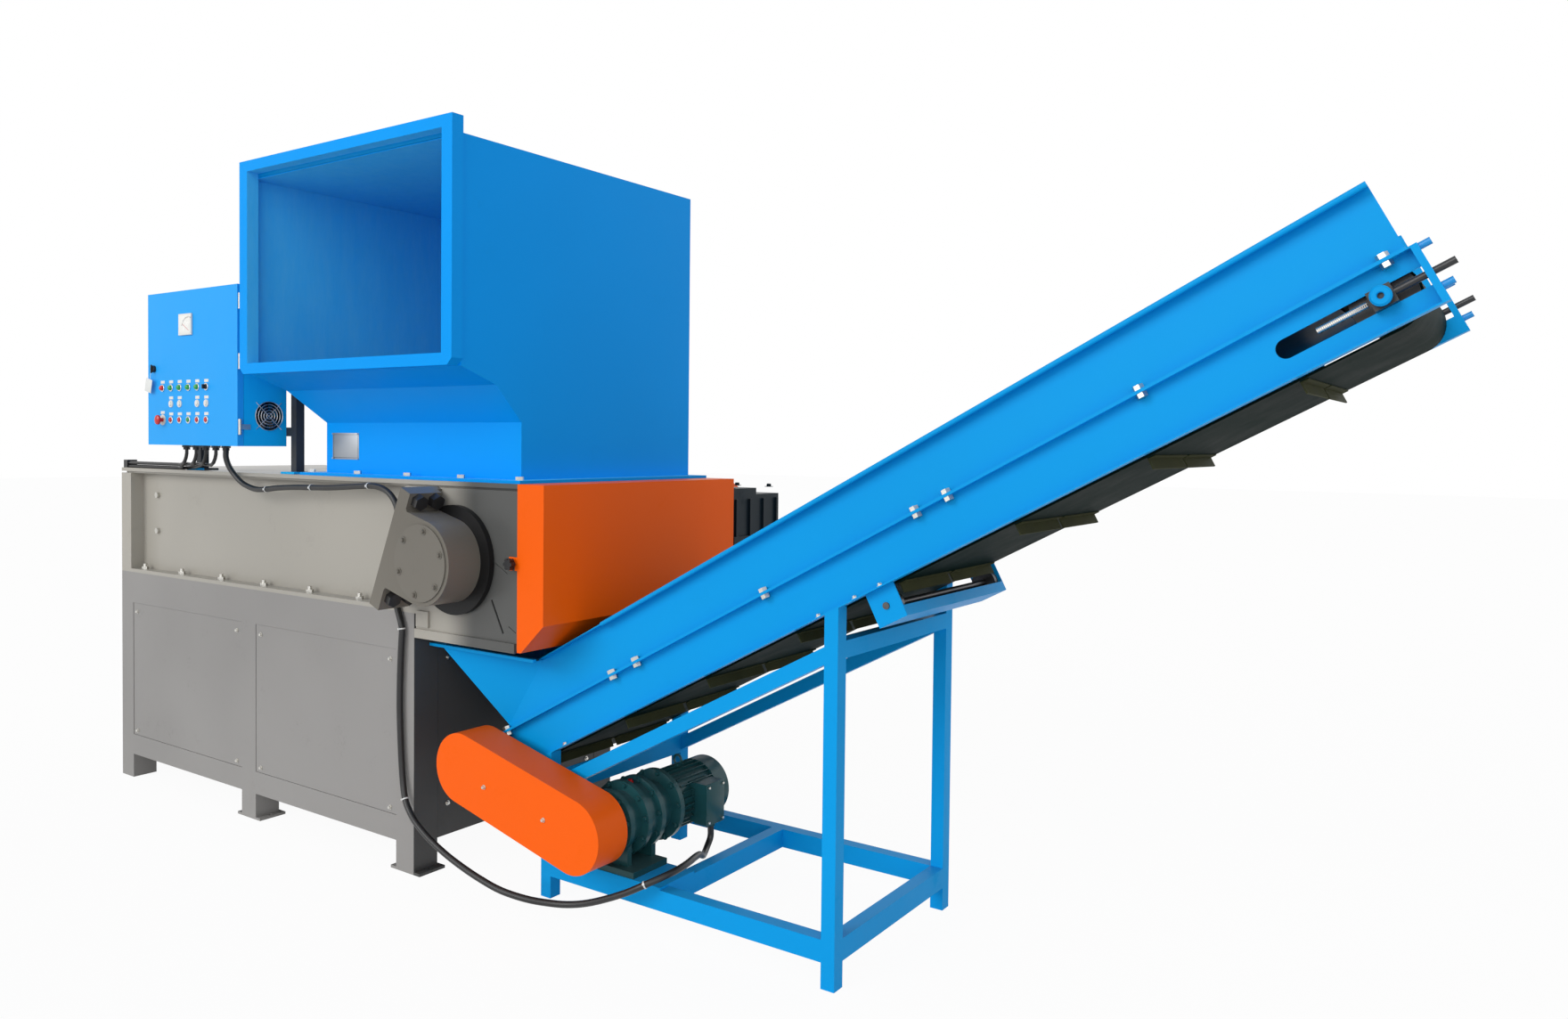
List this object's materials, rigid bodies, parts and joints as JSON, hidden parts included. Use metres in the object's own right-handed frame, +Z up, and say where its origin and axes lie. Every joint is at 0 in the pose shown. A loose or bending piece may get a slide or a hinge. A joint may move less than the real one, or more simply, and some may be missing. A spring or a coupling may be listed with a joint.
{
  "type": "single shaft shredder",
  "caption": "Single shaft shredder with a side-facing feed hopper, hydraulic ram, screened rotor, control cabinet and an inclined cleated belt conveyor.",
  "frame": {"origin": "on the floor, midway between the two middle legs of the base frame", "axes": "+X towards the discharge conveyor, +Y away from the controls and the hopper's mouth, +Z up"},
  "size_m": [5.1796, 1.909, 2.551],
  "materials": {
    "frame_gray": "satin paint",
    "chamber_gray": "satin paint",
    "shell_blue": "gloss paint",
    "guard_orange": "gloss paint",
    "dark_iron": "dark paint",
    "drive_teal": "satin paint",
    "tool_steel": "ground",
    "zinc": "zinc plated",
    "black_plastic": "moulded",
    "cable_black": "matt",
    "belt_green": "matt",
    "v_belt_black": "matt",
    "white_button": "moulded",
    "red_button": "moulded",
    "green_button": "moulded",
    "fittings_metal": "polished rings"
  },
  "bodies": {
    "machine": {"base_frame": "frame_gray", "base_panels": "frame_gray", "side_plate_near": "chamber_gray", "side_plate_far": "chamber_gray", "press_housing": "chamber_gray", "counter_knives": "tool_steel", "screen": "tool_steel", "hydraulics": "dark_iron", "bearing_brackets": "frame_gray", "bearing_housings": "frame_gray", "rotor_bearings": "tool_steel", "bearing_covers": "frame_gray", "hopper": "shell_blue", "rotor_gearbox": "dark_iron", "main_motor": "drive_teal", "v_belts": "v_belt_black", "belt_guard": "guard_orange", "cabinet_box": "shell_blue", "fan_frame": "black_plastic", "conduits": "black_plastic", "motor_cable": "cable_black", "conveyor_frame": "shell_blue", "skirt_boards": "shell_blue", "belt": "belt_green", "return_guard": "shell_blue", "conveyor_stand": "shell_blue", "chain_guard": "guard_orange", "chain": "tool_steel", "gear_reducer": "drive_teal", "drive_motor": "drive_teal", "fasteners": "zinc"},
    "ram": {"ram": "chamber_gray", "piston_rods": "tool_steel"},
    "rotor": {"rotor_drum": "dark_iron", "rotor_knives": "tool_steel"},
    "gearbox_pulley": {"gearbox_pulley": "dark_iron"},
    "motor_pulley": {"motor_pulley": "dark_iron"},
    "cabinet_door": {"cabinet_door": "shell_blue", "door_fittings": "fittings_metal"},
    "door_lock": {"door_lock": "dark_iron"},
    "push_button_1": {"push_button_1": "white_button"},
    "push_button_2": {"push_button_2": "white_button"},
    "push_button_3": {"push_button_3": "white_button"},
    "push_button_4": {"push_button_4": "white_button"},
    "push_button_5": {"push_button_5": "red_button"},
    "push_button_6": {"push_button_6": "red_button"},
    "push_button_7": {"push_button_7": "green_button"},
    "push_button_8": {"push_button_8": "red_button"},
    "push_button_9": {"push_button_9": "red_button"},
    "emergency_stop": {"emergency_stop": "red_button"},
    "selector_switch": {"selector_switch": "black_plastic"},
    "fan_impeller": {"fan_impeller": "black_plastic"},
    "star_knob_near": {"star_knob_near": "black_plastic"},
    "star_knob_far": {"star_knob_far": "black_plastic"},
    "front_cover": {"front_cover": "guard_orange"},
    "take_up": {"take_up_blocks": "tool_steel"},
    "head_pulley": {"head_pulley": "tool_steel"},
    "tail_pulley": {"tail_pulley": "tool_steel"},
    "drive_sprocket": {"drive_sprocket": "tool_steel"},
    "return_roller": {"return_roller": "tool_steel"}
  },
  "joints": [
    {"name": "ram_stroke", "type": "slide", "parent": "machine", "child": "ram", "axis": [1, 0, 0], "range_m": [0, 0.45]},
    {"name": "rotor_turn", "type": "hinge", "parent": "machine", "child": "rotor", "pos_m": [1.264, 0, 1.131], "axis": [0, 1, 0], "continuous": true},
    {"name": "gearbox_pulley_turn", "type": "hinge", "parent": "machine", "child": "gearbox_pulley", "pos_m": [1.079, 1.135, 1.191], "axis": [0, 1, 0], "continuous": true},
    {"name": "motor_pulley_turn", "type": "hinge", "parent": "machine", "child": "motor_pulley", "pos_m": [0.25, 1.135, 1.131], "axis": [0, 1, 0], "continuous": true},
    {"name": "door_hinge", "type": "hinge", "parent": "machine", "child": "cabinet_door", "pos_m": [0.174, -0.635, 1.813], "axis": [0, 0, 1], "range_deg": [0, 110]},
    {"name": "lock_turn", "type": "hinge", "parent": "cabinet_door", "child": "door_lock", "pos_m": [-0.453, -0.64, 1.815], "axis": [0, 1, 0], "range_deg": [0, 90]},
    {"name": "button_1_press", "type": "slide", "parent": "cabinet_door", "child": "push_button_1", "axis": [0, 1, 0], "range_m": [0, 0.004], "stiffness_N_per_m": 400},
    {"name": "button_2_press", "type": "slide", "parent": "cabinet_door", "child": "push_button_2", "axis": [0, 1, 0], "range_m": [0, 0.004], "stiffness_N_per_m": 400},
    {"name": "button_3_press", "type": "slide", "parent": "cabinet_door", "child": "push_button_3", "axis": [0, 1, 0], "range_m": [0, 0.004], "stiffness_N_per_m": 400},
    {"name": "button_4_press", "type": "slide", "parent": "cabinet_door", "child": "push_button_4", "axis": [0, 1, 0], "range_m": [0, 0.004], "stiffness_N_per_m": 400},
    {"name": "button_5_press", "type": "slide", "parent": "cabinet_door", "child": "push_button_5", "axis": [0, 1, 0], "range_m": [0, 0.004], "stiffness_N_per_m": 400},
    {"name": "button_6_press", "type": "slide", "parent": "cabinet_door", "child": "push_button_6", "axis": [0, 1, 0], "range_m": [0, 0.004], "stiffness_N_per_m": 400},
    {"name": "button_7_press", "type": "slide", "parent": "cabinet_door", "child": "push_button_7", "axis": [0, 1, 0], "range_m": [0, 0.004], "stiffness_N_per_m": 400},
    {"name": "button_8_press", "type": "slide", "parent": "cabinet_door", "child": "push_button_8", "axis": [0, 1, 0], "range_m": [0, 0.004], "stiffness_N_per_m": 400},
    {"name": "button_9_press", "type": "slide", "parent": "cabinet_door", "child": "push_button_9", "axis": [0, 1, 0], "range_m": [0, 0.004], "stiffness_N_per_m": 400},
    {"name": "emergency_stop_press", "type": "slide", "parent": "cabinet_door", "child": "emergency_stop", "axis": [0, 1, 0], "range_m": [0, 0.005]},
    {"name": "selector_turn", "type": "hinge", "parent": "cabinet_door", "child": "selector_switch", "pos_m": [-0.0525, -0.641, 1.735], "axis": [0, 1, 0], "range_deg": [-45, 45]},
    {"name": "fan_turn", "type": "hinge", "parent": "machine", "child": "fan_impeller", "pos_m": [0.1535, -0.515, 1.621], "axis": [1, 0, 0], "continuous": true},
    {"name": "star_knob_near_turn", "type": "hinge", "parent": "machine", "child": "star_knob_near", "pos_m": [1.544, -0.52, 1.136], "axis": [0, 1, 0], "continuous": true},
    {"name": "star_knob_far_turn", "type": "hinge", "parent": "machine", "child": "star_knob_far", "pos_m": [1.544, 0.52, 1.136], "axis": [0, 1, 0], "continuous": true},
    {"name": "front_cover_lift", "type": "slide", "parent": "machine", "child": "front_cover", "axis": [0, 0, 1], "range_m": [0, 0.45]},
    {"name": "take_up_slide", "type": "slide", "parent": "machine", "child": "take_up", "axis": [0.8846, 0, 0.4664], "range_m": [-0.06, 0]},
    {"name": "head_pulley_turn", "type": "hinge", "parent": "take_up", "child": "head_pulley", "pos_m": [4.01514, 0, 1.85785], "axis": [0, 1, 0], "continuous": true},
    {"name": "tail_pulley_turn", "type": "hinge", "parent": "machine", "child": "tail_pulley", "pos_m": [1.30567, 0, 0.42931], "axis": [0, 1, 0], "continuous": true},
    {"name": "drive_sprocket_turn", "type": "hinge", "parent": "machine", "child": "drive_sprocket", "pos_m": [1.82411, -0.45, 0.30389], "axis": [0, 1, 0], "continuous": true},
    {"name": "return_roller_turn", "type": "hinge", "parent": "machine", "child": "return_roller", "pos_m": [2.83004, 0, 1.09736], "axis": [0, 1, 0], "continuous": true}
  ],
  "couplings": [
    {"joint": "gearbox_pulley_turn", "follows": "rotor_turn", "ratio": 12},
    {"joint": "motor_pulley_turn", "follows": "rotor_turn", "ratio": 18},
    {"joint": "head_pulley_turn", "follows": "tail_pulley_turn", "ratio": 1},
    {"joint": "drive_sprocket_turn", "follows": "tail_pulley_turn", "ratio": 1},
    {"joint": "return_roller_turn", "follows": "tail_pulley_turn", "ratio": -1.875}
  ]
}
